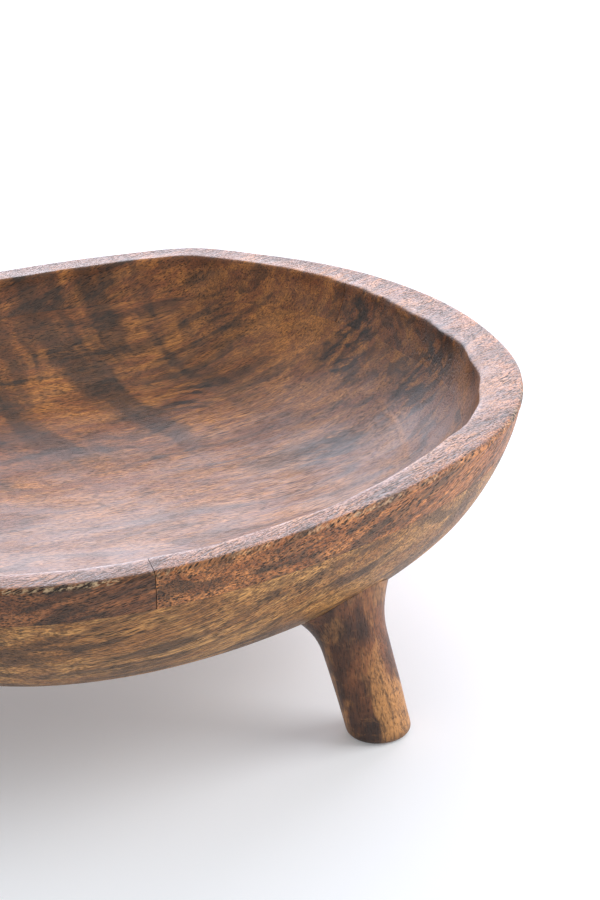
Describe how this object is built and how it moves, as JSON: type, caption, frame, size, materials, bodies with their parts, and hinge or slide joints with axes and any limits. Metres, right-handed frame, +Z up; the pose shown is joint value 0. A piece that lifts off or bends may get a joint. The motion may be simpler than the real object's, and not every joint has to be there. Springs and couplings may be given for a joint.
{
  "type": "carved wooden bowl",
  "caption": "Shallow, slightly uneven round wooden bowl with a thick carved rim, raised on short splayed peg legs.",
  "frame": {"origin": "on the floor plane under the feet, at the middle of the bowl's overall width and depth", "axes": "+Z up out of the bowl; the feet stand a few degrees clockwise of the diagonals of X and Y, and the view of the picture looks along +Y"},
  "size_m": [0.3952, 0.3992, 0.1201],
  "materials": {
    "rim_wood": "satin oiled, open pores",
    "slab_wood": "satin oiled, open pores",
    "leg_wood": "dark stain worn to the wood, satin",
    "dowel_wood": "plain, glued in"
  },
  "bodies": {
    "root": {"rim_board_right": "rim_wood", "rim_board_back": "rim_wood", "rim_board_left": "rim_wood", "base_slab": "slab_wood", "leg_front_right": "leg_wood", "leg_back_right": "leg_wood", "leg_back_left": "leg_wood", "leg_front_left": "leg_wood", "dowel_front_right": "dowel_wood", "dowel_back_right": "dowel_wood", "dowel_back_left": "dowel_wood", "dowel_front_left": "dowel_wood"}
  },
  "joints": []
}
